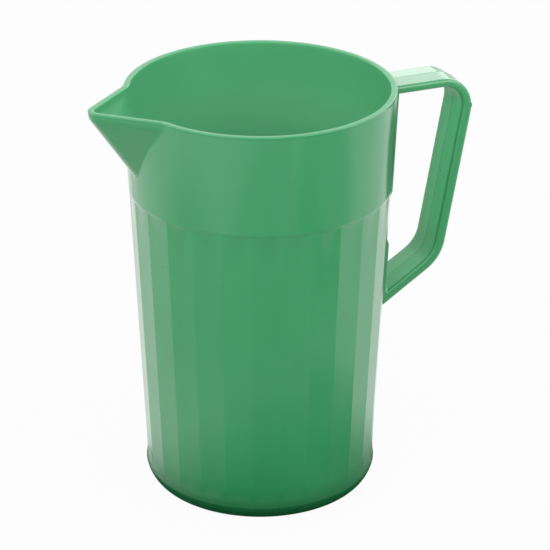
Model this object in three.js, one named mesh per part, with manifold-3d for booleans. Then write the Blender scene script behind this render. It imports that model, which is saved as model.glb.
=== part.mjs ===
// Plastic jug: a tapered body with flat facets under a plain band, a pouring lip, and a strap handle.
// Millimetres, +Z up. The origin is the centre of the base, the lip points along -X, the handle along +X.
import * as THREE from 'three';
import { mergeVertices } from 'three/addons/utils/BufferGeometryUtils.js';
import Module from 'manifold-3d';

// Body
const HEIGHT = 175;
const RIM_RADIUS = 55.7; // outside of the rim bead
const RIM_WIDTH = 2.8; // bead, across the wall
const RIM_HEIGHT = 2.8; // bead, up the wall
const RIM_OVERHANG = 0.45; // how far the bead stands out of the band
const RIM_ROUND = 1.2; // rounding of the bead's two top edges
const BAND_HEIGHT = 42.3; // plain round band, with the bead
const BAND_DRAFT = 1.3; // how far the band narrows from the bead to its lower edge
const BAND_STEP = 0.25; // ledge from the band's lower edge in to the facet corners
const FACET_COUNT = 27;
const FACET_TURN = 177.2; // azimuth of one facet edge, degrees
const FACET_FOOT_RADIUS = 48.25; // over the facet corners, at the foot
const FOOT_STEP = 0.9; // how far the foot stands out of the facet corners
const FOOT_HEIGHT = 6.2; // up to the foot's upper edge
const FOOT_SHOULDER = 2.2; // slope from that edge in to the facets
const FOOT_ROUND = 5.2; // rounding under the foot
const WALL = 2.4; // behind the middle of a facet at the foot
const FLOOR = 3;
const FLOOR_ROUND = 6; // rounding inside, between floor and wall
const RECESS_DEPTH = 0.8; // ring-shaped hollow under the base
const RECESS_INNER_RADIUS = 12;
const REST_WIDTH = 4; // flat ring that the jug stands on

// Pouring lip
const LIP_REACH = 17.9; // from the rim out to the tip
const LIP_HALF_ANGLE = 41.3; // each side from the mid-plane, seen from above, degrees
const LIP_TIP_RADIUS = 5.8;
const LIP_FILLET = 11; // where a side runs into the rim
const LIP_LEAN = 32; // keel from upright, degrees

// Handle
const HANDLE_WIDTH = 18.4;
const RIDGE_HEIGHT = 0.8; // the mid-plane stands this far out of the side edges
const RIDGE_LAND = 0.4; // flat along the top of the ridge
const ARM_DROP = 4.9; // from the rim's top down to the upper arm
const ARM_THICKNESS = 5;
const GRIP_REACH = 39.8; // from the rim out to the grip, level with the arm's top
const GRIP_THICKNESS = 5.6;
const GRIP_LEAN = 10; // from upright, degrees
const STRUT_THICKNESS = 5.3; // sloping lower arm
const STRUT_SLOPE = 33; // from level, degrees
const UPPER_BEND_RADIUS = 14.2; // outside of the bend between arm and grip
const LOWER_BEND_RADIUS = 18.9; // outside of the bend between grip and strut
const TIP_DROP = 105.1; // from the rim's top down to the strut's lower tip
const TIP_OVERHANG = 2.4; // from the wall out to that tip
const TIP_HEIGHT = 4.7; // up the tip's end face
const TIP_LEAN = 10; // of that end face, from upright, degrees
const PAD_PROUD = 4; // feet of the handle, out from the wall
const PAD_FILLET = 4; // between a foot and the arm that it carries
const PAD_TAPER = 8.5; // run-out of a foot, along the wall
const PAD_SHOULDER = 5; // rounding where the run-out starts
const UPPER_PAD_LENGTH = 47; // from the arm's top down to the run-out
const LOWER_PAD_LENGTH = 29; // from the tip up to the run-out
const BOND_GAP = 0.3; // bonding line between the feet and the wall

// Fineness of round shapes
const ROUND_SEGMENTS = 72;
const ARC_STEPS = 4;
const BEND_STEPS = 8;
const LAP = 1.5; // how far joined and cutting solids run past each other
const SEAM = 0.05; // the same, where their sides have to stay flush
const WELD = 1e-4; // vertices closer than this are one

const PLASTIC = { color: 0x4c9c69, roughness: 0.25, metalness: 0 };

const wasm = await Module();
wasm.setup();

const degrees = THREE.MathUtils.degToRad;
const point = (x, y) => new THREE.Vector2(x, y);

// Closed geometry to a solid that can be joined and cut
function toSolid(geometry) {
  geometry.deleteAttribute('normal');
  geometry.deleteAttribute('uv');
  const welded = mergeVertices(geometry, WELD);
  const corners = welded.index.array;
  const triangles = [];
  for (let i = 0; i < corners.length; i += 3) {
    const [a, b, c] = [corners[i], corners[i + 1], corners[i + 2]];
    if (a !== b && b !== c && c !== a) {
      triangles.push(a, b, c);
    }
  }
  const vertProperties = welded.attributes.position.array;
  const triVerts = new Uint32Array(triangles);
  return new wasm.Manifold(new wasm.Mesh({ numProp: 3, vertProperties, triVerts }));
}

// Finished solid to a named mesh
function toMesh(name, solid) {
  const { vertProperties, triVerts } = solid.getMesh();
  const geometry = new THREE.BufferGeometry();
  geometry.setAttribute('position', new THREE.BufferAttribute(vertProperties, 3));
  geometry.setIndex(new THREE.BufferAttribute(triVerts, 1));
  geometry.computeVertexNormals();
  const mesh = new THREE.Mesh(geometry, new THREE.MeshStandardMaterial(PLASTIC));
  mesh.name = name;
  return mesh;
}

// Solid of revolution about Z, from a profile of (radius, height) points
function turned(profile) {
  return toSolid(new THREE.LatheGeometry(profile, ROUND_SEGMENTS).rotateX(Math.PI / 2));
}

// Points of an arc, in degrees
function arc(x, y, radius, start, end) {
  const curve = new THREE.EllipseCurve(x, y, radius, radius, degrees(start), degrees(end), end < start);
  return curve.getPoints(ARC_STEPS);
}

// Heights and radii that the pieces share
const bandBottom = HEIGHT - BAND_HEIGHT;
const rimBottom = HEIGHT - RIM_HEIGHT;
const bandTopRadius = RIM_RADIUS - RIM_OVERHANG;
const bandBottomRadius = bandTopRadius - BAND_DRAFT;
const facetTopRadius = bandBottomRadius - BAND_STEP;
const footRadius = FACET_FOOT_RADIUS + FOOT_STEP;
const facetMiddle = Math.cos(Math.PI / FACET_COUNT); // a facet's middle, as a share of its corner radius
const innerTopRadius = RIM_RADIUS - RIM_WIDTH;
const innerFootRadius = FACET_FOOT_RADIUS * facetMiddle - WALL;

function facetRadius(z) {
  return THREE.MathUtils.mapLinear(z, FOOT_HEIGHT, bandBottom, FACET_FOOT_RADIUS, facetTopRadius);
}

function innerRadius(z) {
  return THREE.MathUtils.mapLinear(z, FOOT_HEIGHT, HEIGHT, innerFootRadius, innerTopRadius);
}

function wallRadius(z) {
  const onBand = THREE.MathUtils.mapLinear(z, bandBottom, rimBottom, bandBottomRadius, bandTopRadius);
  return z < bandBottom ? facetRadius(z) : onBand;
}

// Band with the rim bead, from the mid-axis out; grow moves its outside
function band(grow = 0) {
  const crown = arc(RIM_RADIUS - RIM_ROUND + grow, HEIGHT - RIM_ROUND, RIM_ROUND, 0, 90);
  return turned([
    point(0, bandBottom - grow),
    point(bandBottomRadius + grow, bandBottom - grow),
    point(bandTopRadius + grow, rimBottom - RIM_OVERHANG - grow),
    point(RIM_RADIUS + grow, rimBottom - grow),
    ...crown,
    point(0, HEIGHT),
  ]);
}

// Many-sided taper from the foot to the band
function facets(grow = 0) {
  const low = FOOT_HEIGHT - LAP;
  const high = bandBottom + LAP;
  const reach = grow / facetMiddle;
  const taper = new THREE.CylinderGeometry(
    facetRadius(high) + reach,
    facetRadius(low) + reach,
    high - low,
    FACET_COUNT,
  );
  taper.rotateX(Math.PI / 2);
  taper.rotateZ(degrees(FACET_TURN) + Math.PI / 2);
  taper.translate(0, 0, (low + high) / 2);
  return toSolid(taper);
}

// Round foot with its shoulder and the rounding under it
function foot() {
  const top = FOOT_HEIGHT + FOOT_SHOULDER;
  const shoulder = facetRadius(top) * facetMiddle - FOOT_STEP;
  const underside = arc(footRadius - FOOT_ROUND, FOOT_ROUND, FOOT_ROUND, -90, 0);
  return turned([
    point(0, 0),
    ...underside,
    point(footRadius, FOOT_HEIGHT),
    point(shoulder, top),
    point(0, top),
  ]);
}

// Hollow of the body, flared round the inside of the rim
function hollow() {
  const cornerRadius = innerRadius(FLOOR + FLOOR_ROUND) - FLOOR_ROUND;
  const crown = arc(innerTopRadius + RIM_ROUND, HEIGHT - RIM_ROUND, RIM_ROUND, 180, 90);
  return turned([
    point(0, FLOOR),
    ...arc(cornerRadius, FLOOR + FLOOR_ROUND, FLOOR_ROUND, -90, 0),
    ...crown,
    point(innerTopRadius + RIM_ROUND, HEIGHT + LAP),
    point(0, HEIGHT + LAP),
  ]);
}

// Ring-shaped hollow under the base
function recess() {
  const outer = footRadius - FOOT_ROUND - REST_WIDTH;
  const start = point(RECESS_INNER_RADIUS, -LAP);
  return turned([
    start,
    point(outer, -LAP),
    point(outer, RECESS_DEPTH),
    point(RECESS_INNER_RADIUS, RECESS_DEPTH),
    start.clone(),
  ]);
}

// Lip seen from above, along +X: a wedge with a round tip, running into the rim circle by fillets.
// Offset moves every edge outwards.
function lipPlan(offset) {
  const half = degrees(LIP_HALF_ANGLE);
  const circle = RIM_RADIUS + offset;
  const tip = LIP_TIP_RADIUS + offset;
  const fillet = LIP_FILLET - offset;
  const tipCentre = RIM_RADIUS + LIP_REACH - LIP_TIP_RADIUS;
  const sideDistance = tipCentre * Math.sin(half) + tip;
  const filletCentre = circle + fillet;
  const filletAzimuth = Math.asin((sideDistance + fillet) / filletCentre) - half;
  const x = filletCentre * Math.cos(filletAzimuth);
  const y = filletCentre * Math.sin(filletAzimuth);
  const sideNormal = Math.PI / 2 - half;
  const plan = new THREE.Shape();
  plan.absarc(x, -y, fillet, Math.PI - filletAzimuth, Math.PI - sideNormal, true);
  plan.absarc(tipCentre, 0, tip, -sideNormal, sideNormal, false);
  plan.absarc(x, y, fillet, Math.PI + sideNormal, Math.PI + filletAzimuth, true);
  plan.lineTo(0, 0);
  return plan;
}

// Leaning prism of the lip's plan, from a top height down to below where its keel meets the wall
function lipWedge(offset, top) {
  const lean = Math.tan(degrees(LIP_LEAN));
  const depth = (LIP_REACH + WALL) / lean;
  const wedge = new THREE.ExtrudeGeometry(lipPlan(offset), {
    depth,
    bevelEnabled: false,
    curveSegments: BEND_STEPS,
  });
  wedge.translate(0, 0, -depth);
  wedge.applyMatrix4(new THREE.Matrix4().makeShear(0, 0, 0, 0, lean, 0));
  wedge.rotateZ(Math.PI);
  wedge.translate(0, 0, top);
  return toSolid(wedge);
}

// Upright run of the lip's plan between two heights, with rounded or square edges
function lipCollar(offset, low, high, round) {
  const collar = new THREE.ExtrudeGeometry(lipPlan(offset), {
    depth: high - low - 2 * round,
    bevelEnabled: round > 0,
    bevelThickness: round,
    bevelSize: round,
    bevelOffset: -round,
    bevelSegments: ARC_STEPS,
    curveSegments: BEND_STEPS,
  });
  collar.rotateZ(Math.PI);
  collar.translate(0, 0, low + round);
  return toSolid(collar);
}

function jugBody() {
  const outside = band()
    .add(facets())
    .add(foot())
    .add(lipWedge(-RIM_OVERHANG, rimBottom + RIM_OVERHANG))
    .add(lipCollar(0, rimBottom, HEIGHT, RIM_ROUND));
  const inside = hollow()
    .add(lipWedge(-RIM_WIDTH, rimBottom))
    .add(lipCollar(-RIM_WIDTH, rimBottom - SEAM, HEIGHT + LAP, 0));
  return toMesh('jug_body', outside.subtract(inside).subtract(recess()));
}

// Where two lines meet, each given by a point and a direction
function crossing(a, alongA, b, alongB) {
  const t = b.clone().sub(a).cross(alongB) / alongA.cross(alongB);
  return a.clone().addScaledVector(alongA, t);
}

// Closed outline through corners, each rounded by its own radius
function roundedOutline(corners) {
  const points = corners.flatMap(({ at, radius = 0 }, i) => {
    if (radius === 0) {
      return [at];
    }
    const before = corners.at(i - 1).at.clone().sub(at).normalize();
    const after = corners[(i + 1) % corners.length].at.clone().sub(at).normalize();
    const half = Math.acos(before.dot(after)) / 2;
    const centre = before.clone().add(after).setLength(radius / Math.sin(half)).add(at);
    const start = at.clone().addScaledVector(before, radius / Math.tan(half)).sub(centre);
    const end = at.clone().addScaledVector(after, radius / Math.tan(half)).sub(centre);
    const clockwise = start.cross(end) < 0;
    const bend = new THREE.EllipseCurve(
      centre.x,
      centre.y,
      radius,
      radius,
      start.angle(),
      end.angle(),
      clockwise,
    );
    return bend.getPoints(BEND_STEPS);
  });
  return new THREE.Shape(points);
}

// Side outline of the handle on its mid-plane, as (x, z)
function handleOutline() {
  const level = point(1, 0);
  const gripAlong = point(Math.sin(degrees(GRIP_LEAN)), Math.cos(degrees(GRIP_LEAN)));
  const strutAlong = point(Math.cos(degrees(STRUT_SLOPE)), Math.sin(degrees(STRUT_SLOPE)));
  const armTop = HEIGHT - ARM_DROP;
  const armBottom = armTop - ARM_THICKNESS;
  const tipZ = HEIGHT - TIP_DROP;
  const upperRunOut = armTop - UPPER_PAD_LENGTH;
  const lowerRunOut = tipZ + LOWER_PAD_LENGTH;
  const onWall = (z, out) => point(wallRadius(z) + out, z);
  const inWall = (z) => onWall(z, -WALL);

  const outerTop = point(RIM_RADIUS + GRIP_REACH, armTop);
  const innerTop = outerTop.clone().add(point(-GRIP_THICKNESS / gripAlong.y, 0));
  const tip = onWall(tipZ, TIP_OVERHANG);
  const strutInner = tip.clone().add(point(0, STRUT_THICKNESS / strutAlong.x));
  const tipTop = tip.clone().add(point(-TIP_HEIGHT * Math.tan(degrees(TIP_LEAN)), TIP_HEIGHT));
  const upperPad = onWall(upperRunOut, PAD_PROUD);
  const upperPadAlong = onWall(armTop, PAD_PROUD).sub(upperPad);
  const lowerPad = onWall(lowerRunOut, PAD_PROUD);
  const lowerPadAlong = onWall(tipZ, PAD_PROUD).sub(lowerPad);

  const outerBottom = crossing(outerTop, gripAlong, tip, strutAlong);
  const innerBottom = crossing(innerTop, gripAlong, strutInner, strutAlong);
  const innerArm = crossing(innerTop, gripAlong, point(0, armBottom), level);
  const armRoot = crossing(upperPad, upperPadAlong, point(0, armBottom), level);
  const strutRoot = crossing(lowerPad, lowerPadAlong, strutInner, strutAlong);

  return roundedOutline([
    { at: inWall(armTop) },
    { at: outerTop, radius: UPPER_BEND_RADIUS },
    { at: outerBottom, radius: LOWER_BEND_RADIUS },
    { at: tip },
    { at: tipTop },
    { at: inWall(tipTop.y + TIP_OVERHANG + WALL) },
    { at: inWall(lowerRunOut + PAD_TAPER + WALL) },
    { at: lowerPad, radius: PAD_SHOULDER },
    { at: strutRoot, radius: PAD_FILLET },
    { at: innerBottom, radius: LOWER_BEND_RADIUS - STRUT_THICKNESS },
    { at: innerArm, radius: UPPER_BEND_RADIUS - GRIP_THICKNESS },
    { at: armRoot, radius: PAD_FILLET },
    { at: upperPad, radius: PAD_SHOULDER },
    { at: inWall(upperRunOut - PAD_TAPER - WALL) },
  ]);
}

// Strap drafted both ways from a ridge on its mid-plane, cut to the wall that its feet sit on
function handle() {
  const slope = (HANDLE_WIDTH - RIDGE_LAND) / 2;
  const strap = new THREE.ExtrudeGeometry(handleOutline(), {
    depth: RIDGE_LAND,
    bevelEnabled: true,
    bevelThickness: slope,
    bevelSize: RIDGE_HEIGHT,
    bevelOffset: -RIDGE_HEIGHT,
    bevelSegments: 1,
  });
  strap.translate(0, 0, -RIDGE_LAND / 2);
  strap.rotateX(Math.PI / 2);
  const wall = band(BOND_GAP).add(facets(BOND_GAP));
  return toMesh('handle', toSolid(strap).subtract(wall));
}

const jug = new THREE.Group();
jug.add(jugBody(), handle());

export default jug;
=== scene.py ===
"""Looks of a green plastic jug: a faceted body with a pouring lip, and a strap handle.

Shapes are worked out on grids in millimetres and put into meshes in metres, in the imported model's frame:
+Z up, the origin at the centre of the base, the lip along -X and the handle along +X.
"""

import logging
from collections.abc import Sequence
from dataclasses import dataclass
from enum import Enum
from math import cos, pi, radians, sin, tan

import bpy
import numpy as np
from mathutils import Matrix, Vector


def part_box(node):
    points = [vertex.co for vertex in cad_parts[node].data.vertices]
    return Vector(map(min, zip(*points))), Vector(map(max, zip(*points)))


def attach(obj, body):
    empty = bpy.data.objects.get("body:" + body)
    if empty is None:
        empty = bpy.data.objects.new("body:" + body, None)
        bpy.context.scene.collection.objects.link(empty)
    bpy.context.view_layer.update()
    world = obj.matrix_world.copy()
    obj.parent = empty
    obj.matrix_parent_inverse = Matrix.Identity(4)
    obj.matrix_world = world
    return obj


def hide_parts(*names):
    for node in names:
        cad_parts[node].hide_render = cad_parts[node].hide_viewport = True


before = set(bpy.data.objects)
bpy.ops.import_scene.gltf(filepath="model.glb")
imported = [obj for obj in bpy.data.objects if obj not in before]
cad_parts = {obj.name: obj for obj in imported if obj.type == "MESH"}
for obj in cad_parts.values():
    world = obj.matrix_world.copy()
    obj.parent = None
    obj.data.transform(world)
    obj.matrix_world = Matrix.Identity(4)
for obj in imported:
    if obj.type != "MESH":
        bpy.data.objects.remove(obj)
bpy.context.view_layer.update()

log = logging.getLogger("jug")

Array = np.ndarray
Colour = tuple[float, float, float]
Pair = tuple[float, float]

WHITE: Colour = (1.0, 1.0, 1.0)
NOISE_MIDDLE = 0.5
MM = 0.001
TINY = 1e-9
BODY = "root"
INSIDE = "inside"  # vertex attribute: 0 outside, grows to 1 over the rim, and is high in the handle's loop; it places the satin and the painted light inside


class Node(Enum):
    """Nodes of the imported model."""

    JUG_BODY = "jug_body"
    HANDLE = "handle"


class Slot(Enum):
    """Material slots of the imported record."""

    GREEN_PLASTIC = "green_plastic"


class End(Enum):
    """How the first and last rows of a grid are closed."""

    POLE = "the row is one point, with a fan of triangles round it"
    FACE = "the row is a flat outline, closed by one face"


def smooth_max(a: Array, b: Array, blend: Array | float) -> Array:
    """Larger of two surfaces, its crease filled by a parabola where they differ by less than the blend.

    Args:
        a: First surface's radii.
        b: Second surface's radii.
        blend: Width of the filling, in the radii's unit; the crease rises by a quarter of it.

    Returns:
        Radii of the joined surface.
    """
    overlap = np.maximum(blend - np.abs(a - b), 0.0)
    return np.maximum(a, b) + overlap**2 / (4 * blend)


def smooth_min(a: Array, b: Array, blend: Array | float) -> Array:
    """Smaller of two surfaces, its edge rounded by the same parabola as in smooth_max."""
    return -smooth_max(-a, -b, blend)


def smooth_step(x: Array, start: float, end: float) -> Array:
    """Cubic ease from 0 at start to 1 at end."""
    t = np.clip((x - start) / (end - start), 0.0, 1.0)
    return t * t * (3 - 2 * t)


def stepped(start: float, ends: Sequence[float], counts: Sequence[int]) -> Array:
    """Even steps through zones that follow each other.

    Args:
        start: Where the first zone starts.
        ends: Where each zone ends.
        counts: Number of steps in each zone.

    Returns:
        The place after each step, without the start.
    """
    zones = zip([start, *ends], ends, counts)
    return np.concatenate([np.linspace(low, high, count + 1)[1:] for low, high, count in zones])


def line(z: Array, low: Pair, high: Pair) -> Array:
    """Radius on the straight line through two (height, radius) points, and beyond them."""
    slope = (high[1] - low[1]) / (high[0] - low[0])
    return low[1] + (z - low[0]) * slope


def ray_exit(centre: Array, radius: Array | float, turn: Array) -> Array:
    """Where a ray from the axis leaves a circle: its way to the chord's middle, plus half the chord."""
    across = centre * np.sin(turn)
    return centre * np.cos(turn) + np.sqrt(np.maximum(radius**2 - across**2, 0.0))


def tangents(grid: Array, axis: int) -> Array:
    """Directions along one axis of a grid: slopes of the parabolas through each point and its neighbours.

    Each step is weighted by the length of the step on the other side, so that uneven steps do not show.

    Args:
        grid: Points, as (rows, columns, 3).
        axis: 0 along a column or 1 along a row.

    Returns:
        Directions of any length, as the grid. The first and last go by the step across the grid's ends.
    """
    ahead = np.roll(grid, -1, axis) - grid
    behind = np.roll(ahead, 1, axis)
    long_ahead = np.maximum(np.linalg.norm(ahead, axis=2, keepdims=True), TINY)
    long_behind = np.maximum(np.linalg.norm(behind, axis=2, keepdims=True), TINY)
    return ahead * (long_behind / long_ahead) + behind * (long_ahead / long_behind)


def surface_normals(grid: Array) -> Array:
    """Normals of a skin from pole to pole: along a row crossed with along a column, upright at the poles.

    Args:
        grid: Points, as (rows, columns, 3).

    Returns:
        Unit normals, as the grid.
    """
    normals = np.cross(tangents(grid, 1), tangents(grid, 0))
    normals /= np.maximum(np.linalg.norm(normals, axis=2, keepdims=True), TINY)
    normals[0] = (0.0, 0.0, -1.0)
    normals[-1] = (0.0, 0.0, 1.0)
    return normals


def add_object(name: str, data: bpy.types.ID) -> bpy.types.Object:
    """Adds an object to the scene.

    Args:
        name: Name of the object.
        data: Its mesh, lamp or camera.

    Returns:
        The object.
    """
    made = bpy.data.objects.new(name, data)
    bpy.context.scene.collection.objects.link(made)
    return made


def mesh_object(
    name: str, grid: Array, ends: End, inside: Array, normals: Array | None = None
) -> bpy.types.Object:
    """Closed mesh over a grid of points that is a loop along its second axis.

    A face joins each point to its neighbours in the next column and the next row. It points outwards where
    the next column lies to the right of the next row, seen from outside with the next row upwards.

    Args:
        name: Name of the object and its mesh.
        grid: Points in millimetres, as (rows, columns, 3).
        ends: How the first and last rows are closed.
        inside: Values of the inside attribute, spread over the rows and columns.
        normals: Normals of the points, as the grid, where the mean of the faces' normals would not do.

    Returns:
        The object, linked to the scene, with its place in its mesh.
    """
    rows, columns = grid.shape[:2]
    kept = np.ones((rows, columns), bool)
    if ends is End.POLE:
        kept[[0, -1], 1:] = False
    index = (np.cumsum(kept) - 1).reshape(rows, columns)
    beside = np.roll(index, -1, axis=1)
    quads = np.stack([index[:-1], beside[:-1], beside[1:], index[1:]], axis=-1)
    if ends is End.POLE:
        index[-1] = index[-1, 0]
        bottom = np.stack([np.zeros_like(index[0]), beside[1], index[1]], axis=-1)
        top = np.stack([index[-1], index[-2], beside[-2]], axis=-1)
        faces = [*bottom.tolist(), *top.tolist(), *quads[1:-1].reshape(-1, 4).tolist()]
    else:
        faces = [index[0, ::-1].tolist(), index[-1].tolist(), *quads.reshape(-1, 4).tolist()]

    mesh = bpy.data.meshes.new(name)
    mesh.from_pydata((grid[kept] * MM).tolist(), [], faces)
    mesh.polygons.foreach_set("use_smooth", np.ones(len(mesh.polygons), bool))
    values = np.broadcast_to(inside, (rows, columns))[kept]
    mesh.attributes.new(INSIDE, "FLOAT", "POINT").data.foreach_set("value", values.astype(np.float32))
    if normals is not None:
        mesh.normals_split_custom_set_from_vertices(normals[kept].tolist())
    return add_object(name, mesh)


def dress(piece: bpy.types.Object, node: Node, finish: bpy.types.Material) -> bpy.types.Object:
    """Gives a piece its finish and its place in the frame.

    Args:
        piece: New piece.
        node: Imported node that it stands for.
        finish: Material.

    Returns:
        The piece.
    """
    piece.data.materials.append(finish)
    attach(piece, BODY)
    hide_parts(node.value)
    return piece


class Value:
    """Output of a shader node, whose operators add Math nodes."""

    def __init__(self, graph: "Graph", socket: bpy.types.NodeSocket) -> None:
        """Wraps a socket of a graph."""
        self.graph = graph
        self.socket = socket

    def math(self, operation: str, first: "Value | float", second: "Value | float") -> "Value":
        """Result of a Math node on two values."""
        return self.graph.value("ShaderNodeMath", 0, {"operation": operation}, {0: first, 1: second})

    def __add__(self, other: "Value | float") -> "Value":
        """Sum of two values."""
        return self.math("ADD", self, other)

    __radd__ = __add__

    def __sub__(self, other: "Value | float") -> "Value":
        """This value less another."""
        return self.math("SUBTRACT", self, other)

    def __rsub__(self, other: "Value | float") -> "Value":
        """A number less this value."""
        return self.math("SUBTRACT", other, self)

    def __mul__(self, other: "Value | float") -> "Value":
        """Product of two values."""
        return self.math("MULTIPLY", self, other)

    __rmul__ = __mul__

    def larger(self, other: "Value | float") -> "Value":
        """Larger of two values."""
        return self.math("MAXIMUM", self, other)

    def ramp(self, start: float, end: float) -> "Value":
        """Eased ramp from 0 where this value is start to 1 where it is end."""
        sockets = {"Value": self, "From Min": start, "From Max": end}
        return self.graph.value("ShaderNodeMapRange", 0, {"interpolation_type": "SMOOTHSTEP"}, sockets)

    def zone(self, start: float, end: float) -> "Value":
        """The same ramp over a length, from start to end in millimetres."""
        return self.ramp(start * MM, end * MM)


class Graph:
    """Node tree that is written with one method for every kind of node."""

    def __init__(self, tree: bpy.types.NodeTree) -> None:
        """Empties the tree and takes it over."""
        tree.nodes.clear()
        self.tree = tree

    def node(
        self, kind: str, settings: dict | None = None, sockets: dict | None = None
    ) -> bpy.types.Node:
        """Adds a node.

        Args:
            kind: Node type.
            settings: Properties of the node, set before its sockets.
            sockets: Values or wrapped outputs for its inputs, by input name or number.

        Returns:
            The node.
        """
        made = self.tree.nodes.new(kind)
        for name, setting in (settings or {}).items():
            setattr(made, name, setting)
        for name, given in (sockets or {}).items():
            if isinstance(given, Value):
                self.tree.links.new(given.socket, made.inputs[name])
            else:
                made.inputs[name].default_value = given
        return made

    def value(
        self, kind: str, output: str | int, settings: dict | None = None, sockets: dict | None = None
    ) -> Value:
        """One output of a new node, wrapped."""
        return Value(self, self.node(kind, settings, sockets).outputs[output])

    def noise(self, place: Value, size: float, detail: float) -> Value:
        """Noise from 0 to 1 whose blotches are about a size across, in millimetres."""
        sockets = {"Vector": place, "Scale": 1 / (size * MM), "Detail": detail}
        return self.value("ShaderNodeTexNoise", "Fac", None, sockets)

    def mix_colours(self, share: Value, first: "Colour | Value", second: "Colour | Value") -> Value:
        """Colour between two, by a share of the second: inputs 6 and 7 and output 2 of a Mix node."""
        ends = [end if isinstance(end, Value) else (*end, 1.0) for end in (first, second)]
        return self.value("ShaderNodeMix", 2, {"data_type": "RGBA"}, {0: share, 6: ends[0], 7: ends[1]})

    def rays(self) -> tuple[Value, Value]:
        """Kinds of ray that meet a surface, each 1 or 0.

        Returns:
            Whether the camera sends the ray, and whether gloss or clear plastic does.
        """
        path = self.node("ShaderNodeLightPath")
        names = ("Is Camera Ray", "Is Glossy Ray", "Is Transmission Ray")
        seen, glossy, clear = (Value(self, path.outputs[name]) for name in names)
        return seen, glossy + clear

    def finish(self, kind: str, shader: Value) -> None:
        """Adds the output node, fed by a shader."""
        self.node(kind, None, {"Surface": shader})


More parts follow.
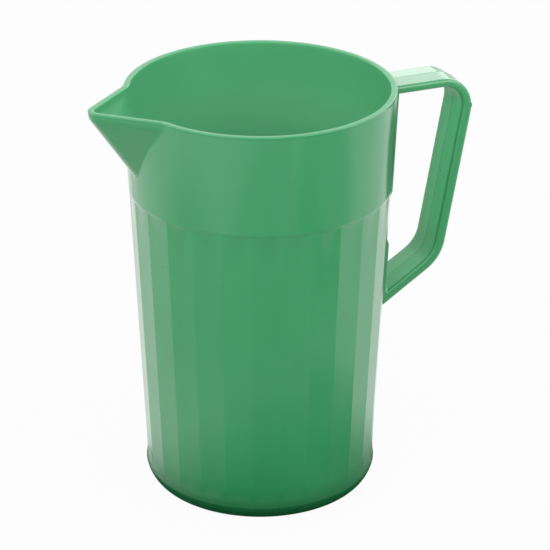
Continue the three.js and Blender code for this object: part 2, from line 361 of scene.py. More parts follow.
@dataclass(frozen=True)
class GreenPlastic:
    """Glossy moulded plastic: flow clouds, dark flecks, a scuffed foot and a satin inside, with painted shade
    at the base and under the foot and painted light inside and on the grip.

    Sizes are in millimetres, colours are linear. A pair says where a change starts and where it is full.
    """

    colour: Colour = (0.0300, 0.281, 0.101)
    pale: Colour = (0.0330, 0.293, 0.107)
    # painted light: a paler colour inside, standing in for the light and gloss that reach the outside
    inner: Colour = (0.138, 0.492, 0.246)
    inner_from: Pair = (0.5, 1.0)  # of the inside attribute
    inner_top: float = 0.3  # share of the inner colour's painted light at the rim
    inner_depth: float = 40.0  # down to where the painted light is full
    grip: Colour = (0.058, 0.560, 0.225)  # painted light on the grip's inner faces, standing in for light that shines through the strap
    grip_light_out: Pair = (58.0, 62.0)  # from the axis
    grip_light_up: Pair = (92.0, 108.0)  # from the base
    painted_base_shade: float = 0.78  # painted shade: share of the colour that darkens it towards the base
    painted_base_shade_top: float = 45.0
    painted_base_shade_bottom: float = -20.0
    painted_foot_shade: float = 0.42  # painted shade: colour under the foot's rounding, as a share
    painted_foot_shade_top: float = 16.0
    fleck: Colour = (0.012, 0.110, 0.040)
    rim: float = 175.0  # height of the jug's rim
    refraction: float = 1.58
    coat: float = 0.4  # polish of the mould, left out inside
    coat_gloss: float = 0.06
    scatter: float = 0.5  # share of the light that spreads in the plastic
    scatter_depth: float = 3.0
    scatter_radius: Colour = (0.5, 1.0, 0.7)
    gloss: float = 0.10  # roughness of the moulded outside
    satin: float = 0.45  # roughness inside
    satin_from: Pair = (0.0, 0.4)  # of the inside attribute
    gloss_change: float = 0.05
    scuff: float = 0.22  # roughness added under the foot
    scuff_top: float = 5.0
    cloud_size: float = 26.0
    cloud_stretch: float = 0.3  # squeeze of the pattern along the mould's draw
    cloud_detail: float = 3.0
    cloud_from: Pair = (0.3, 0.7)  # of the noise
    grain_size: float = 1.6
    grain_detail: float = 2.0
    fleck_spacing: float = 17.0
    fleck_size: float = 0.45
    peel_size: float = 9.0
    peel_detail: float = 1.0
    peel_depth: float = 0.004

    def tone(self, graph: Graph, place: Value, out: Value, height: Value, inside: Value) -> Value:
        """Colour without flecks: clouds along the mould's draw, with painted shade that darkens it towards
        the base and under the foot.

        Painted light makes the inside paler, fully so some way down from the rim, and the grip's inner faces
        greener.

        Args:
            graph: Graph of the material.
            place: Object coordinates.
            out: Their distance towards the handle.
            height: Their height.
            inside: Inside attribute.

        Returns:
            The colour.
        """
        squeeze = (1.0, 1.0, self.cloud_stretch)
        drawn = graph.value("ShaderNodeMapping", 0, None, {"Vector": place, "Scale": squeeze})
        clouds = graph.noise(drawn, self.cloud_size, self.cloud_detail).ramp(*self.cloud_from)
        # painted shade: the colour grows darker towards the base
        clear_of_base_shade = height.zone(self.painted_base_shade_bottom, self.painted_base_shade_top)
        base_shade_colour = tuple(part * self.painted_base_shade for part in self.colour)
        wall = graph.mix_colours(clear_of_base_shade, base_shade_colour, graph.mix_colours(clouds, self.colour, self.pale))
        # painted shade under the foot's rounding
        dark = tuple(part * self.painted_foot_shade * self.painted_base_shade for part in self.colour)
        outer = graph.mix_colours(height.zone(0.0, self.painted_foot_shade_top), dark, wall)
        # painted light inside, less of it near the rim
        depth = 1 - height.zone(self.rim - self.inner_depth, self.rim) * (1 - self.inner_top)
        within = inside.ramp(*self.inner_from)
        with_inside_light = graph.mix_colours(within * depth, outer, self.inner)
        # painted light on the upper grip's inner faces
        grip_light_share = out.zone(*self.grip_light_out) * height.zone(*self.grip_light_up)
        return graph.mix_colours(within * grip_light_share, with_inside_light, self.grip)

    def material(self) -> bpy.types.Material:
        """Builds the material.

        Returns:
            A principled material on Object coordinates, with the inside told apart by a vertex attribute.
        """
        made = bpy.data.materials.new(Slot.GREEN_PLASTIC.value)
        made.use_nodes = True
        graph = Graph(made.node_tree)
        place = graph.value("ShaderNodeTexCoord", "Object")
        parts = graph.node("ShaderNodeSeparateXYZ", None, {0: place})
        out, height = Value(graph, parts.outputs["X"]), Value(graph, parts.outputs["Z"])
        inside = graph.value("ShaderNodeAttribute", "Fac", {"attribute_name": INSIDE})
        grain = graph.noise(place, self.grain_size, self.grain_detail)

        tone = self.tone(graph, place, out, height, inside)
        spread = {"Vector": place, "Scale": 1 / (self.fleck_spacing * MM)}
        to_fleck = graph.value("ShaderNodeTexVoronoi", "Distance", None, spread)
        reach = self.fleck_size / self.fleck_spacing
        colour = graph.mix_colours(1 - to_fleck.ramp(reach / 2, reach), tone, self.fleck)

        scuffed = (1 - height.zone(0.0, self.scuff_top)) * grain * self.scuff
        satin = inside.ramp(*self.satin_from)
        polish = satin * (self.satin - self.gloss) + self.gloss
        roughness = polish + (grain - NOISE_MIDDLE) * self.gloss_change + scuffed

        peel = graph.noise(place, self.peel_size, self.peel_detail)
        waves = {"Distance": self.peel_depth * MM, "Height": peel}
        bump = graph.value("ShaderNodeBump", "Normal", None, waves)
        sockets = {
            "Base Color": colour,
            "Roughness": roughness,
            "IOR": self.refraction,
            "Normal": bump,
            "Coat Weight": (1 - satin) * self.coat,
            "Coat Roughness": self.coat_gloss,
            "Subsurface Weight": self.scatter,
            "Subsurface Radius": self.scatter_radius,
            "Subsurface Scale": self.scatter_depth * MM,
        }
        shader = graph.value("ShaderNodeBsdfPrincipled", "BSDF", None, sockets)
        graph.finish("ShaderNodeOutputMaterial", shader)
        return made


@dataclass(frozen=True)
class PaintedShadow:
    """Round painted shadow on the floor, in millimetres: full out to its inner radius and gone at its outer
    one.
    """

    x: float
    y: float
    inner: float
    outer: float
    share: float  # of the painted shadow's colour where it is full


@dataclass(frozen=True)
class WhitePaper:
    """White floor with painted shadows, tinted green, that show only in the jug's gloss and bounce light,
    lifted towards white where seen or mirrored.
    """

    white: float = 0.55
    # colour of the painted shadows
    painted_shadow: Colour = (0.012, 0.11, 0.04)
    seen_lift: float = 0.95  # share of plain white for what the camera sees
    mirrored_lift: float = 0.97  # the same for what gloss and clear plastic show
    # painted shadows round the foot, in front of the jug and behind it, standing in for the jug's own shadows
    painted_shadows: tuple[PaintedShadow, ...] = (
        PaintedShadow(0.0, 0.0, 51.0, 60.0, 1.0),
        PaintedShadow(-16.0, -38.0, 28.0, 50.0, 0.6),
        PaintedShadow(0.0, -45.0, 45.0, 115.0, 0.75),
        PaintedShadow(70.0, -95.0, 30.0, 62.0, 0.5),
        PaintedShadow(-35.0, -235.0, 110.0, 270.0, 0.5),
        PaintedShadow(190.0, -300.0, 100.0, 190.0, 0.5),
        PaintedShadow(-250.0, -30.0, 70.0, 170.0, 0.35),
        PaintedShadow(300.0, 205.0, 60.0, 115.0, 0.9),
        PaintedShadow(245.0, 292.0, 48.0, 92.0, 0.9),
        PaintedShadow(150.0, 160.0, 25.0, 62.0, 0.9),
    )

    def material(self) -> bpy.types.Material:
        """Builds the material.

        Returns:
            A diffuse material, mixed with its own light for camera, glossy and transmission rays.
        """
        made = bpy.data.materials.new("white_paper")
        made.use_nodes = True
        graph = Graph(made.node_tree)
        seen, mirrored = graph.rays()
        place = graph.value("ShaderNodeTexCoord", "Object")
        # the floor is bare outside the painted shadows, and the camera sees past them
        bare = 1.0
        for painted_shadow in self.painted_shadows:
            ends = {0: place, 1: (painted_shadow.x * MM, painted_shadow.y * MM, 0.0)}
            away = graph.value("ShaderNodeVectorMath", "Value", {"operation": "DISTANCE"}, ends)
            bare = (away.zone(painted_shadow.inner, painted_shadow.outer) * painted_shadow.share + (1 - painted_shadow.share)) * bare
        lift = seen * self.seen_lift + mirrored * self.mirrored_lift
        shown = bare.larger(seen)
        tone = graph.mix_colours(shown, self.painted_shadow, (self.white,) * 3)
        glow = graph.mix_colours(shown, self.painted_shadow, WHITE)
        paper = graph.value("ShaderNodeBsdfDiffuse", 0, None, {"Color": tone})
        light = graph.value("ShaderNodeEmission", 0, None, {"Color": glow, "Strength": 1.0})
        mixed = graph.value("ShaderNodeMixShader", 0, None, {0: lift, 1: paper, 2: light})
        graph.finish("ShaderNodeOutputMaterial", mixed)
        return made


@dataclass
class JugBody:
    """Tapered body with flat facets under a plain band, a rim bead, a pouring lip and a round foot.

    It is one closed skin in rings of one height each: out from the middle of the underside, up the outside,
    over the rim and down the inside to the middle of the floor. Every ring is a radius as a function of the
    azimuth. Sizes are in millimetres and degrees.
    """

    height: float
    rim_radius: float  # outside of the bead
    lip_tip: float  # from the axis to the tip of the lip

    rim_width: float = 2.6  # bead, across the wall
    rim_rise: float = 0.42  # half the bead's height
    rim_overhang: float = 0.03
    bead_turn: float = 8.0  # how far the bead's round section goes under, from level
    band_bottom: float = 132.7
    band_draft: float = 1.35
    band_blend: float = 0.1  # filling between facets and band
    band_edge_blend: float = 0.08  # rounding of the band's lower edge
    chamfer: float = 16.5  # of the band's lower edge, from upright
    facet_count: int = 27
    facet_turn: float = 177.2  # azimuth of one facet edge
    facet_top_radius: float = 54.15  # over the facet corners
    facet_foot_radius: float = 48.33
    facet_rounding: float = 2.0
    foot_radius: float = 49.0
    foot_height: float = 6.24
    foot_inset: float = 3.7  # how far its lower edge is drawn in
    foot_power: float = 1.37  # shape of that edge: 1 is round, 2 is a straight chamfer
    shoulder_slope: float = 0.13  # inwards for each millimetre up
    foot_blend: float = 0.3  # rounding of the shoulder, and filling between it and the facets
    inner_foot_radius: float = 45.6
    floor: float = 3.0
    floor_round: float = 6.0
    floor_rings: tuple[float, ...] = (0.9, 0.6, 0.3, 0.0)  # on the flat floor, as shares of its radius
    recess_depth: float = 0.8
    recess_inner: float = 12.0
    recess_edge: float = 0.9
    rest_width: float = 4.0
    seam_depth: float = 0.12
    seam_width: float = 0.24
    lip_half_angle: float = 41.3
    lip_tip_radius: float = 5.8
    lip_lean: float = 34.0  # keel, from upright
    keel_drop: float = 2.45  # from the bead down to where the keel starts to lean
    keel_round: float = 1.8  # rounding of that start, up and down
    lip_blend: float = 1.06  # filling between lip and rim
    keel_blend: float = 0.5  # the same, low on the keel
    channel_blend: float = 6.0  # the same, inside
    channel_depth: float = 8.0  # under the bead, to where that is full

    edge_step: float = 0.13  # from a facet edge to the first column beside it
    edge_columns: int = 3  # on either side of it
    flat_columns: int = 5  # steps between them, along a flat
    lip_columns: int = 23  # the same, near the lip
    recess_rows: tuple[int, ...] = (6, 5, 6)  # steps over its inner edge, its middle and its outer edge
    foot_rows: int = 19
    shoulder_zone: float = 8.5  # up from the foot
    band_zones: tuple[float, ...] = (-2.0, 0.5, 8.0)  # ends of further zones, up from the band's lower edge
    up_rows: tuple[int, ...] = (29, 8, 21, 4, 39)  # steps in each of these zones, and up to the bead
    bead_rows: int = 27
    channel_zone: float = 6.0  # end of the lip's channel, up from the band's lower edge
    down_rows: tuple[int, ...] = (35, 7)  # steps down to there, and on to the floor's rounding
    floor_rows: int = 9

    @classmethod
    def from_frame(cls) -> "JugBody":
        """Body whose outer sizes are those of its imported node."""
        low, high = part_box(Node.JUG_BODY.value)
        return cls(height=high.z / MM, rim_radius=high.y / MM, lip_tip=-low.x / MM)

    @property
    def bead_middle(self) -> float:
        """Height of the middle of the bead's round section."""
        return self.height - self.rim_rise

    @property
    def band_top(self) -> float:
        """Height at which the band runs into the underside of the bead."""
        return self.bead_middle - self.rim_rise * sin(radians(self.bead_turn))

    @property
    def facet_half(self) -> float:
        """Half a facet, as an azimuth in radians."""
        return pi / self.facet_count

    def azimuths(self) -> Array:
        """Columns round the axis, once round from a facet edge.

        A facet edge has columns on either side, each twice as far away as the last. The flat between has even
        steps, which are finer near the lip.

        Returns:
            Azimuths in radians.
        """
        away = radians(self.edge_step) * 2.0 ** np.arange(self.edge_columns)
        edge = np.concatenate([-away[::-1], [0.0], away])
        starts = radians(self.facet_turn) + 2 * self.facet_half * np.arange(self.facet_count)
        columns = []
        for start in starts:
            middle = start + self.facet_half
            near_lip = cos(middle - pi) > cos(radians(self.lip_half_angle))
            count = self.lip_columns if near_lip else self.flat_columns
            flat = stepped(edge[-1], [2 * self.facet_half + edge[0]], [count])[:-1]
            columns.append(start + np.concatenate([edge, flat]))
        return np.concatenate(columns)

    def keel_shift(self, z: Array) -> Array:
        """How far the lip's plan is drawn in at each height: a slope with a rounded start."""
        below = smooth_max(self.band_top - self.keel_drop - z, np.zeros_like(z), self.keel_round)
        return below * tan(radians(self.lip_lean))

    def lip(self, azimuth: Array, shift: Array, offset: Array) -> Array:
        """Radius of the lip's plan: a wedge with a round tip along -X.

        A straight side lies at a fixed distance from the axis, so its radius is that distance over the cosine
        of the angle from the side's normal. The tip is where a ray leaves a circle on the mid-plane.

        Args:
            azimuth: Columns.
            shift: How far each row's plan is drawn in towards the axis.
            offset: How far each row's plan is grown outwards.

        Returns:
            Radii, as (rows, columns). Past the wedge they stay below the round wall.
        """
        side_normal = radians(90 - self.lip_half_angle)
        turn = np.abs(azimuth % (2 * pi) - pi)
        tip = (self.lip_tip_radius + offset)[:, None]
        centre = (self.lip_tip - self.lip_tip_radius - shift)[:, None]
        side = (centre * cos(side_normal) + tip) / np.cos(np.minimum(turn, side_normal) - side_normal)
        tip_end = np.arctan2(tip * sin(side_normal), centre + tip * cos(side_normal))
        return np.where(turn < tip_end, ray_exit(centre, tip, turn), side)

    def facets(self, azimuth: Array, z: Array) -> Array:
        """Radius of the many-sided taper: a flat's distance over the cosine of the angle from its middle.

        Near an edge, the radius is where a ray leaves the circle that rounds the edge.

        Args:
            azimuth: Columns.
            z: Height of each row.

        Returns:
            Radii, as (rows, columns).
        """
        half = self.facet_half
        top = (self.band_bottom, self.facet_top_radius)
        corner = line(np.minimum(z, self.band_bottom), (self.foot_height, self.facet_foot_radius), top)
        flat = (corner * cos(half))[:, None]
        from_middle = np.abs((azimuth - radians(self.facet_turn)) % (2 * half) - half)
        centre = (flat - self.facet_rounding) / cos(half)
        edge = ray_exit(centre, self.facet_rounding, half - from_middle)
        on_edge = from_middle > np.arctan2(centre * sin(half), flat)
        return np.where(on_edge, edge, flat / np.cos(from_middle))

    def outside(self, azimuth: Array, z: Array) -> Array:
        """Radius of the outer wall: foot, facets, band and lip, each pair joined by a small rounding.

        Args:
            azimuth: Columns.
            z: Height of each row, from the foot's rounding up to the bead.

        Returns:
            Radii, as (rows, columns).
        """
        band_radius = self.rim_radius - self.rim_overhang
        band = line(z, (self.band_bottom, band_radius - self.band_draft), (self.band_top, band_radius))
        lower_edge = band_radius - self.band_draft + (z - self.band_bottom) * tan(radians(self.chamfer))
        band = smooth_min(band, lower_edge, self.band_edge_blend)[:, None]
        shoulder = self.foot_radius - (z - self.foot_height) * self.shoulder_slope
        foot = smooth_min(np.full_like(z, self.foot_radius), shoulder, self.foot_blend)[:, None]
        wall = smooth_max(self.facets(azimuth, z), band, self.band_blend)
        wall = smooth_max(wall, foot, self.foot_blend) - self.seam(azimuth, z)
        keel_end = self.band_bottom + self.seam_width
        blend = np.interp(z, [keel_end, self.band_top], [self.keel_blend, self.lip_blend])[:, None]
        lip = self.lip(azimuth, self.keel_shift(z), np.full_like(z, -self.rim_overhang))
        return smooth_max(wall, lip, blend)

    def seam(self, azimuth: Array, z: Array) -> Array:
        """Depth of the mould's seam: a groove eased out over its width, down the band under the lip.

        Args:
            azimuth: Columns.
            z: Height of each row.

        Returns:
            Depths, as (rows, columns).
        """
        away = np.abs((azimuth - radians(self.facet_turn) + pi) % (2 * pi) - pi) * self.rim_radius
        across = 1 - smooth_step(away, 0.0, self.seam_width)
        on_band = smooth_step(z, self.band_bottom, self.band_bottom + self.seam_width)
        return self.seam_depth * across * on_band[:, None]

    def bead(self, azimuth: Array) -> tuple[Array, Array]:
        """Rings of the rim bead, a round section carried along the lip's plan joined to the rim circle.

        Args:
            azimuth: Columns.

        Returns:
            Radii, as (rows, columns), and heights.
        """
        turn = np.radians(np.linspace(-self.bead_turn, 180, self.bead_rows + 1))
        offset = self.rim_width / 2 * (np.cos(turn) - 1)
        circle = (self.rim_radius + offset)[:, None]
        plan = smooth_max(circle, self.lip(azimuth, np.zeros_like(offset), offset), self.lip_blend)
        return plan, self.bead_middle + self.rim_rise * np.sin(turn)

    def inner_radius(self, z: Array) -> Array:
        """Radius of the straight inner taper."""
        top = (self.height, self.rim_radius - self.rim_width)
        return line(z, (self.foot_height, self.inner_foot_radius), top)

    def inside(self, azimuth: Array, z: Array) -> Array:
        """Radius of the inner wall: the taper joined to the channel of the lip.

        Args:
            azimuth: Columns.
            z: Height of each row.

        Returns:
            Radii, as (rows, columns).
        """
        channel = self.lip(azimuth, self.keel_shift(z), np.full_like(z, -self.rim_width))
        reach = [self.bead_middle - self.channel_depth, self.bead_middle]
        blend = np.interp(z, reach, [self.channel_blend, self.lip_blend])[:, None]
        return smooth_max(self.inner_radius(z)[:, None], channel, blend)

    def underside(self) -> tuple[Array, Array]:
        """Rings of the base: a middle disc, a ring-shaped recess, the flat rest and the foot's rounding.

        The recess is eased up and down at its edges, and the rounding is a quarter of a power curve.

        Returns:
            Radii and heights.
        """
        rest_outer = self.foot_radius - self.foot_inset
        rest_inner = rest_outer - self.rest_width
        recess_outer = rest_inner - self.recess_edge
        recess_start = self.recess_inner + self.recess_edge
        middle = [0.0, self.recess_inner / 2, self.recess_inner]
        ends = [recess_start, recess_outer, rest_inner]
        radius = np.concatenate([middle, stepped(self.recess_inner, ends, self.recess_rows)])
        rise = smooth_step(radius, self.recess_inner, recess_start)
        fall = smooth_step(radius, recess_outer, rest_inner)
        turn = np.radians(np.linspace(-90, 0, self.foot_rows + 1))
        rounding = rest_outer + self.foot_inset * np.abs(np.cos(turn)) ** self.foot_power
        recess = self.recess_depth * (rise - fall)
        heights = self.foot_height * (1 - np.abs(np.sin(turn)) ** self.foot_power)
        return np.concatenate([radius, rounding]), np.concatenate([recess, heights])

    def floor_inside(self) -> tuple[Array, Array]:
        """Rings of the quarter round at the foot of the inner wall and of the flat floor, to its middle.

        Returns:
            Radii and heights.
        """
        start = self.floor + self.floor_round
        corner = self.inner_radius(np.array(start)) - self.floor_round
        turn = np.radians(np.linspace(0, -90, self.floor_rows + 1))
        rounding = corner + self.floor_round * np.cos(turn)
        across = corner * np.array(self.floor_rings)
        down = start + self.floor_round * np.sin(turn)
        return np.concatenate([rounding, across]), np.concatenate([down, np.full_like(across, self.floor)])

    def rings(self) -> tuple[Array, Array]:
        """All rings of the skin: a ring's radius out along each azimuth, at the ring's height.

        Returns:
            Points, as (rows, columns, 3), and each row's value of the inside attribute.
        """
        azimuth = self.azimuths()
        shoulder = self.foot_height + self.shoulder_zone
        up_ends = [shoulder, *(self.band_bottom + away for away in self.band_zones), self.band_top]
        up = stepped(self.foot_height, up_ends, self.up_rows)[:-1]
        down_ends = [self.band_bottom + self.channel_zone, self.floor + self.floor_round]
        down = stepped(self.bead_middle, down_ends, self.down_rows)[:-1]
        base_radius, base_z = self.underside()
        bead_radius, bead_z = self.bead(azimuth)
        floor_radius, floor_z = self.floor_inside()
        whole = np.ones((1, azimuth.size))
        radius = np.concatenate([
            base_radius[:, None] * whole,
            self.outside(azimuth, up),
            bead_radius,
            self.inside(azimuth, down),
            floor_radius[:, None] * whole,
        ])
        z = np.concatenate([base_z, up, bead_z, down, floor_z])
        rim_row = base_z.size + up.size
        inside = np.clip((np.arange(z.size) - rim_row) / bead_z.size, 0.0, 1.0)
        points = [radius * np.cos(azimuth), radius * np.sin(azimuth), z[:, None] * whole]
        return np.stack(points, axis=-1), inside

    def build(self, finish: bpy.types.Material) -> bpy.types.Object:
        """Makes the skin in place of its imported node.

        Args:
            finish: Material of the plastic.

        Returns:
            The piece.
        """
        points, inside = self.rings()
        piece = mesh_object("moulded_body", points, End.POLE, inside[:, None], surface_normals(points))
        return dress(piece, Node.JUG_BODY, finish)


@dataclass(frozen=True)
class Corner:
    """Corner of an outline, with its rounding and the share of an inset that the edge after it takes."""

    x: float
    z: float
    radius: float = 0.25
    share: float = 1.0


def rounded_outlines(corners: Sequence[Corner], insets: Array, steps: int, support: float) -> Array:
    """Closed clockwise outlines through rounded corners, one for each inset.

    Each edge moves inwards by its share of the inset, each corner moves to where its two edges then cross,
    and its arc is turned about the point that lies one radius from both edges, with a support point on either
    side. Bends wider than every inset keep their centre, and smaller roundings keep their radius.

    Args:
        corners: Corners in order.
        insets: Inset of each outline.
        steps: Points on each arc.
        support: Distance of the support points from the ends of an arc.

    Returns:
        Points as (insets, points, 2).
    """
    places = np.array([(corner.x, corner.z) for corner in corners])
    along = np.roll(places, -1, axis=0) - places
    along /= np.linalg.norm(along, axis=1, keepdims=True)
    before = np.roll(along, 1, axis=0)
    after_in = np.stack([along[:, 1], -along[:, 0]], axis=1)
    before_in = np.roll(after_in, 1, axis=0)
    after_move = insets[:, None] * np.array([corner.share for corner in corners])
    before_move = np.roll(after_move, 1, axis=1)
    square = np.sum(before_in * after_in, axis=1)
    first = (before_move - after_move * square) / (1 - square**2)
    second = (after_move - before_move * square) / (1 - square**2)
    moved = places + first[..., None] * before_in + second[..., None] * after_in

    bulge = np.sign(before[:, 1] * along[:, 0] - before[:, 0] * along[:, 1])
    radius = np.array([corner.radius for corner in corners])
    radius = radius - np.where(radius > insets.max(), bulge * np.minimum(before_move, after_move), 0.0)
    reach = (bulge * radius / (1 + square))[..., None]
    centre = moved + reach * (before_in + after_in)
    angle = np.arccos(square)[:, None]
    share = np.linspace(0, 1, steps)
    turning = np.sin((1 - share) * angle)[..., None] * before_in[:, None]
    turning = (turning + np.sin(share * angle)[..., None] * after_in[:, None]) / np.sin(angle)[..., None]
    arcs = centre[:, :, None] - (bulge * radius)[..., None, None] * turning
    start = arcs[:, :, :1] - support * before[:, None]
    end = arcs[:, :, -1:] + support * along[:, None]
    return np.concatenate([start, arcs, end], axis=2).reshape(len(insets), -1, 2)


def crossing(a: Vector, along_a: Vector, b: Vector, along_b: Vector) -> Vector:
    """Point where two lines meet in a plane, each given by a point and a direction."""
    return a + along_a * ((b - a).cross(along_b) / along_a.cross(along_b))


@dataclass
class Handle:
    """Strap handle: an arm, a leaning grip and a sloping strut on two feet, drafted both ways from a seam.

    Its skin is the side outline carried across the width, drawn in from the seam on the mid-plane to the
    rounded side edges. Sizes are in millimetres and degrees.
    """

    body: JugBody
    arm_top: float
    tip_bottom: float
    half_width: float

    arm_thickness: float = 4.5
    grip_reach: float = 39.77  # from the rim out to the grip, level with the arm's top
    grip_thickness: float = 5.6
    grip_lean: float = 10.0
    strut_thickness: float = 5.3
    strut_slope: float = 33.0
    upper_bend: float = 14.2
    lower_bend: float = 18.9
    tip_overhang: float = 2.4
    tip_height: float = 4.7
    tip_lean: float = 10.0
    pad_proud: float = 3.25
    pad_share: float = 0.3  # how much of an inset the pads' edges take
    tip_share: float = 0.1  # the same at the tip and inside the wall
    upper_fillet: float = 0.5
    lower_fillet: float = 0.9
    pad_taper: float = 8.5
    pad_shoulder: float = 5.0
    upper_pad: float = 47.0
    lower_pad: float = 29.0
    sunk: float = 1.5  # how far the feet run into the wall
    nub_height: float = 156.5  # small lump on the outside, at the end of the upper bend
    nub_reach: float = 1.3
    nub_share: float = 0.6  # how much of the inset it fills
    draft: float = 0.45
    seam_height: float = 0.06
    seam_width: float = 0.3
    seam_rows: tuple[float, ...] = (0.0, 0.25, 0.5, 0.75, 1.0, 1.6)  # as shares of its width
    edge_round: float = 1.2
    edge_steps: int = 7
    arc_steps: int = 40
    support: float = 0.35
    loop_ends: tuple[int, int] = (8, 12)  # corners between which the outline runs inside the loop
    loop_full: float = 0.85  # inside attribute there
    side_fade: tuple[float, ...] = (0.0, 0.3, 1.3)  # from the side, in edge roundings
    side_share: tuple[float, ...] = (0.0, 0.5, 1.0)  # of the attribute there

    @classmethod
    def from_frame(cls, body: JugBody) -> "Handle":
        """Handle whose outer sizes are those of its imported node, on a body."""
        low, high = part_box(Node.HANDLE.value)
        return cls(body, arm_top=high.z / MM, tip_bottom=low.z / MM, half_width=high.y / MM)

    def wall(self, z: float, out: float) -> Vector:
        """Point on the mid-plane, out from the wall at a height."""
        facing = np.zeros(1)
        return Vector((float(self.body.outside(facing, np.array([z]))[0, 0]) + out, z))

    def corners(self) -> list[Corner]:
        """Side outline on the mid-plane, clockwise from the top of the upper foot.

        Returns:
            Corners as (x, z). The edges inside the wall take little of an inset.
        """
        level = Vector((1.0, 0.0))
        grip = Vector((sin(radians(self.grip_lean)), cos(radians(self.grip_lean))))
        strut = Vector((cos(radians(self.strut_slope)), sin(radians(self.strut_slope))))
        arm_bottom = Vector((0.0, self.arm_top - self.arm_thickness))
        upper_end = self.arm_top - self.upper_pad
        lower_end = self.tip_bottom + self.lower_pad

        outer_top = Vector((self.body.rim_radius + self.grip_reach, self.arm_top))
        inner_top = outer_top - level * (self.grip_thickness / grip.y)
        tip = self.wall(self.tip_bottom, self.tip_overhang)
        strut_inner = tip + Vector((0.0, self.strut_thickness / strut.x))
        tip_top = tip + Vector((-self.tip_height * tan(radians(self.tip_lean)), self.tip_height))
        upper_pad = self.wall(upper_end, self.pad_proud)
        upper_along = self.wall(self.arm_top, self.pad_proud) - upper_pad
        lower_pad = self.wall(lower_end, self.pad_proud)
        lower_along = self.wall(self.tip_bottom, self.pad_proud) - lower_pad

        outer_bottom = crossing(outer_top, grip, tip, strut)
        inner_bottom = crossing(inner_top, grip, strut_inner, strut)
        inner_arm = crossing(inner_top, grip, arm_bottom, level)
        arm_root = crossing(upper_pad, upper_along, arm_bottom, level)
        strut_root = crossing(lower_pad, lower_along, strut_inner, strut)
        run_in = self.pad_taper * (1 + self.sunk / self.pad_proud)
        tip_root = tip_top.y + self.tip_overhang + self.sunk
        return [
            Corner(*self.wall(self.arm_top, -self.sunk)),
            Corner(*outer_top, self.upper_bend),
            Corner(*outer_bottom, self.lower_bend),
            Corner(*tip, share=self.tip_share),
            Corner(*tip_top, share=self.tip_share),
            Corner(*self.wall(tip_root, -self.sunk), share=self.tip_share),
            Corner(*self.wall(lower_end + run_in, -self.sunk), share=self.pad_share),
            Corner(*lower_pad, self.pad_shoulder, self.pad_share),
            Corner(*strut_root, self.lower_fillet),
            Corner(*inner_bottom, self.lower_bend - self.strut_thickness),
            Corner(*inner_arm, self.upper_bend - self.grip_thickness),
            Corner(*arm_root, self.upper_fillet, self.pad_share),
            Corner(*upper_pad, self.pad_shoulder, self.pad_share),
            Corner(*self.wall(upper_end - run_in, -self.sunk), share=self.tip_share),
        ]

    def across(self) -> tuple[Array, Array]:
        """Places across the width and how far the outline is drawn in there.

        The draft grows evenly from the seam to a quarter round at the side, and the last row is on the side.

        Returns:
            Places along Y and insets, from one side to the other.
        """
        flat_end = self.half_width - self.edge_round
        turn = np.radians(np.linspace(0, 90, self.edge_steps + 1))
        seam = self.seam_width * np.array(self.seam_rows)
        edge = flat_end + self.edge_round * np.sin(turn)
        y = np.concatenate([seam, [flat_end / 2, flat_end - self.support], edge])
        inset = self.seam_height * smooth_step(y, 0.0, self.seam_width) + self.draft * y / self.half_width
        inset[-turn.size:] += self.edge_round * (1 - np.cos(turn))
        y = np.append(y, self.half_width)
        inset = np.append(inset, inset[-1] + self.support)
        return np.concatenate([-y[:0:-1], y]), np.concatenate([inset[:0:-1], inset])

    def nub(self, outlines: Array, inset: Array) -> Array:
        """How far the lump stands out along X: a round hump over its height, on the grip's outside.

        Args:
            outlines: Points as (insets, points, 2).
            inset: Inset of each outline, of which the lump fills a share.

        Returns:
            Distances, as (insets, points).
        """
        x, z = outlines[..., 0], outlines[..., 1]
        hump = np.maximum(1 - ((z - self.nub_height) / self.nub_reach) ** 2, 0.0)
        outer = x > self.body.rim_radius + self.grip_reach - self.grip_thickness
        return self.nub_share * inset[:, None] * hump * outer

    def loop_share(self, y: Array, columns: int) -> Array:
        """Inside attribute: high from one pad to the other inside the loop, fading over the side edges.

        Args:
            y: Places across the width.
            columns: Points of an outline.

        Returns:
            Values, as (places, points).
        """
        first, last = self.loop_ends
        corner = np.arange(columns) / (self.arc_steps + 2)
        full = self.loop_full
        on_loop = np.interp(corner, [first - 1, first, last, last + 1], [0.0, full, full, 0.0])
        from_side = (self.half_width - np.abs(y)) / self.edge_round
        return np.interp(from_side, self.side_fade, self.side_share)[:, None] * on_loop

    def build(self, finish: bpy.types.Material) -> bpy.types.Object:
        """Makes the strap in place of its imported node.

        Args:
            finish: Material of the plastic.

        Returns:
            The piece.
        """
        y, inset = self.across()
        outlines = rounded_outlines(self.corners(), inset, self.arc_steps, self.support)
        outlines[..., 0] += self.nub(outlines, inset)
        points = np.insert(outlines, 1, np.broadcast_to(y[:, None], outlines.shape[:2]), axis=2)
        piece = mesh_object("strap_handle", points, End.FACE, self.loop_share(y, outlines.shape[1]))
        piece.visible_glossy = False
        return dress(piece, Node.HANDLE, finish)


@dataclass(frozen=True)
class Softbox:
    """Rectangular lamp aimed at the jug. Metres and degrees; bearing 0 is the camera's side, 90 its right."""

    name: str
    bearing: float
    elevation: float
    distance: float
    width: float
    height: float
    radiance: float


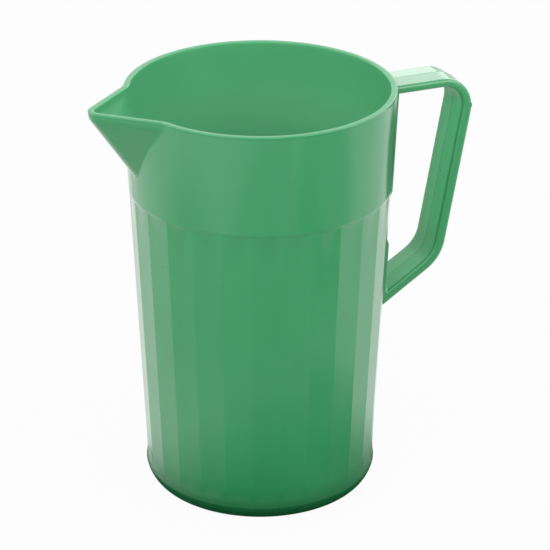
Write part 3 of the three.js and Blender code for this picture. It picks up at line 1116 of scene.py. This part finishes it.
@dataclass
class Studio:
    """White floor, soft light and the camera. Metres and degrees."""

    eye: tuple[float, float, float] = (-0.3699, -0.8886, 0.5424)
    heading: float = 67.028  # azimuth that the camera looks along
    tilt: float = 25.149  # downwards
    roll: float = 0.198
    lens: float = 165.9
    sensor: float = 36.0
    floor_half: float = 4.0
    floor_gap: float = 0.0002
    aim_height: float = 0.09
    fill: float = 0.55  # sky that lights the matt part of surfaces
    softboxes: tuple[Softbox, ...] = (
        Softbox("front", -12.0, 35.0, 1.6, 1.4, 1.2, 2.15),
        Softbox("left", -68.0, 28.0, 1.6, 1.4, 1.2, 1.9),
        Softbox("right", 64.0, 26.0, 1.6, 1.4, 1.2, 2.6),
        Softbox("back", 168.0, 32.0, 1.5, 1.88, 1.1, 1.58),
    )

    def toward(self) -> Vector:
        """Level direction that the camera looks along."""
        return Vector((cos(radians(self.heading)), sin(radians(self.heading)), 0.0))

    def rightward(self) -> Vector:
        """Level direction to the camera's right."""
        return Vector((sin(radians(self.heading)), -cos(radians(self.heading)), 0.0))

    def add_floor(self) -> None:
        """Adds the floor, just under the jug."""
        half = self.floor_half
        mesh = bpy.data.meshes.new("floor")
        corners = [(-half, -half), (half, -half), (half, half), (-half, half)]
        mesh.from_pydata([(x, y, -self.floor_gap) for x, y in corners], [], [(0, 1, 2, 3)])
        mesh.materials.append(WhitePaper().material())
        floor = add_object("floor", mesh)

    def add_softbox(self, box: Softbox) -> None:
        """Adds one lamp, whose power is its radiance times pi times its area.

        Args:
            box: Its place, size and strength.
        """
        bearing = radians(box.bearing)
        level = self.rightward() * sin(bearing) - self.toward() * cos(bearing)
        out = level * cos(radians(box.elevation)) + Vector((0, 0, sin(radians(box.elevation))))
        light = bpy.data.lights.new(box.name, "AREA")
        light.shape = "RECTANGLE"
        light.size = box.width
        light.size_y = box.height
        light.energy = box.radiance * pi * box.width * box.height
        lamp = add_object(box.name, light)
        turn = (-out).to_track_quat("-Z", "Y").to_matrix().to_4x4()
        place = out * box.distance + Vector((0, 0, self.aim_height))
        lamp.matrix_world = Matrix.Translation(place) @ turn
        lamp.visible_camera = False

    def add_sky(self) -> None:
        """Sets the world: white where it is seen or mirrored, a low fill elsewhere."""
        world = bpy.data.worlds.new("sky")
        world.use_nodes = True
        bpy.context.scene.world = world
        graph = Graph(world.node_tree)
        seen, mirrored = graph.rays()
        lights = ({"Color": (*WHITE, 1.0), "Strength": strength} for strength in (self.fill, 1.0))
        fill, white = (graph.value("ShaderNodeBackground", 0, None, light) for light in lights)
        sky = graph.value("ShaderNodeMixShader", 0, None, {0: seen + mirrored, 1: fill, 2: white})
        graph.finish("ShaderNodeOutputWorld", sky)

    def add_camera(self) -> None:
        """Adds the camera and makes it the scene's."""
        tilt = radians(self.tilt)
        forward = self.toward() * cos(tilt) - Vector((0, 0, sin(tilt)))
        right = self.rightward()
        up = right.cross(forward)
        turn = Matrix((right, up, -forward)).transposed() @ Matrix.Rotation(radians(self.roll), 3, "Z")
        data = bpy.data.cameras.new("camera")
        data.lens = self.lens
        data.sensor_width = self.sensor
        camera = add_object("camera", data)
        camera.matrix_world = Matrix.Translation(self.eye) @ turn.to_4x4()
        bpy.context.scene.camera = camera

    def build(self) -> None:
        """Adds the floor, the lamps, the sky and the camera, and sets plain colours."""
        self.add_floor()
        for box in self.softboxes:
            self.add_softbox(box)
        self.add_sky()
        self.add_camera()
        bpy.context.scene.view_settings.view_transform = "Standard"


def main() -> None:
    """Builds the jug and its studio, and reports each piece."""
    logging.basicConfig(level=logging.INFO, format="%(message)s")
    plastic = GreenPlastic().material()
    body = JugBody.from_frame()
    handle = Handle.from_frame(body)
    for part in (body, handle):
        piece = part.build(plastic)
        log.info("%s: %d faces", piece.name, len(piece.data.polygons))
    Studio().build()


if __name__ == "__main__":
    main()
